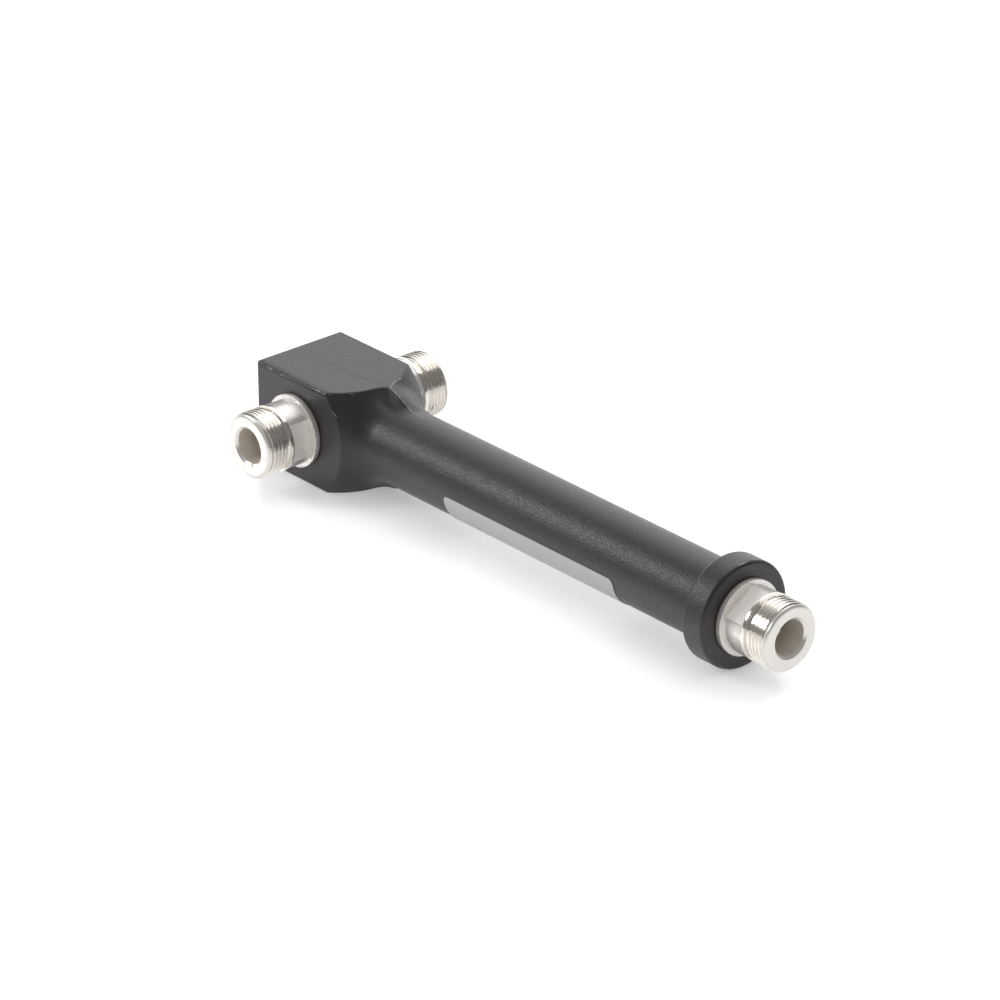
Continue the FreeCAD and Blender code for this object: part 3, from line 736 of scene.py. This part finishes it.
# How far each jack's wrench flats are turned about its axis when it is screwed in, in degrees.
FLAT_ANGLES = {"near_output": 4.2, "far_output": 20.0, "input": 33.0}
for jack in JACKS:
    axis, face = jack_frame(jack)
    bpy.ops.object.select_all(action="DESELECT")
    blank.select_set(True)
    bpy.context.view_layer.objects.active = blank
    bpy.ops.object.duplicate()
    shell = bpy.context.object
    shell.name = jack + "_threaded_shell"
    flats = Matrix.Rotation(math.radians(FLAT_ANGLES[jack]), 4, "Z")
    shell.matrix_world = Matrix.Translation(face) @ AXIS_TURNS[jack] @ flats
    bpy.ops.object.transform_apply(location=True, rotation=True, scale=True)
    bpy.ops.object.shade_smooth_by_angle(angle=math.radians(SMOOTH_UP_TO))
    for index, kind in enumerate(FINISHES):
        shell.data.materials[index] = metals[jack, kind]
    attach(shell, "root")
    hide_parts(jack + "_shell")
    print(shell.name, "triangles about", 2 * len(shell.data.polygons))
bpy.data.objects.remove(blank)

# %% [markdown]
# ## Floor and light
# The photograph was taken on glossy white, in a room that is bright behind the object and dark round
# the photographer. So the world that the metal mirrors changes with direction, while the world
# that lights the object is even. The floor glows a little, but only where it is looked at or
# mirrored, so that it comes out white and its shadow stays soft. A big soft box hangs above and
# behind, and a small strong one at the left gives the band of light along the barrel.

# %% Floor
FLOOR_SIZE = 6.0
FLOOR_GLOW = 0.32
bpy.ops.mesh.primitive_plane_add(size=FLOOR_SIZE, location=(0, 0, 0))
floor = bpy.context.object
floor.name = "floor"
floor_finish, tree, shader = material("floor_white", color=grey(0.8), roughness=0.2, specular=0.35)


def mirror_rays(tree, light_path):
    """1 for the rays that a mirror or a pane sends on, 0 for the others."""
    return scalar_math(
        tree, "MAXIMUM", light_path["Is Glossy Ray"], light_path["Is Transmission Ray"])


light_path = node(tree, "ShaderNodeLightPath").outputs
looked_at = scalar_math(
    tree, "MAXIMUM", light_path["Is Camera Ray"], mirror_rays(tree, light_path))
seen = node(tree, "ShaderNodeEmission", {"Color": grey(1.0), "Strength": FLOOR_GLOW})
both = node(tree, "ShaderNodeAddShader", {0: shader.outputs["BSDF"], 1: seen.outputs["Emission"]})
chosen = node(tree, "ShaderNodeMixShader", {
    0: looked_at, 1: shader.outputs["BSDF"], 2: both.outputs["Shader"]})
tree.links.new(chosen.outputs["Shader"], tree.nodes["Material Output"].inputs["Surface"])
floor.data.materials.append(floor_finish)
print("floor", FLOOR_SIZE, "m")

# %% Soft boxes


def soft_box(name, size, watts, direction, distance):
    """A square lamp that faces the model's origin from a distance in a direction."""
    towards = Vector(direction).normalized()
    bpy.ops.object.light_add(type="AREA", location=towards * distance)
    lamp = bpy.context.object
    lamp.name = name
    lamp.data.shape = "SQUARE"
    lamp.data.size = size
    lamp.data.energy = watts
    lamp.rotation_euler = towards.to_track_quat("Z", "Y").to_euler()


soft_box("top_box", 1.2, 6.0, (-0.2, 0.6, 1.1), 1.3)
soft_box("band_box", 0.35, 4.7, (-0.64, -0.56, 0.49), 1.2)

# %% World
PLAIN_LEVEL = 0.8
DARK_END = 0.12
BRIGHT_END = 1.4
BRIGHT_STARTS = 0.45
BRIGHT_DIRECTION = (-0.757, 0.654, 0.2)
world = bpy.data.worlds.new("studio")
bpy.context.scene.world = world
world.use_nodes = True
tree = world.node_tree
tree.nodes.clear()
light_path = node(tree, "ShaderNodeLightPath").outputs
sky = node(tree, "ShaderNodeTexCoord").outputs["Generated"]
facing = vector_math(tree, "DOT_PRODUCT", sky, BRIGHT_DIRECTION, "Value")
strength = remap(
    tree, facing, BRIGHT_STARTS, 1.0, DARK_END, BRIGHT_END, interpolation_type="SMOOTHSTEP")
surround = node(tree, "ShaderNodeBackground", {"Color": grey(1.0), "Strength": strength})
plain = node(tree, "ShaderNodeBackground", {"Color": grey(1.0), "Strength": PLAIN_LEVEL})
backdrop = node(tree, "ShaderNodeBackground", {"Color": grey(1.0), "Strength": 1.0})
around = node(tree, "ShaderNodeMixShader", {
    0: mirror_rays(tree, light_path), 1: plain.outputs["Background"], 2: surround.outputs["Background"]})
chosen = node(tree, "ShaderNodeMixShader", {
    0: light_path["Is Camera Ray"], 1: around.outputs["Shader"], 2: backdrop.outputs["Background"]})
node(tree, "ShaderNodeOutputWorld", {"Surface": chosen.outputs["Shader"]})
print("world set")
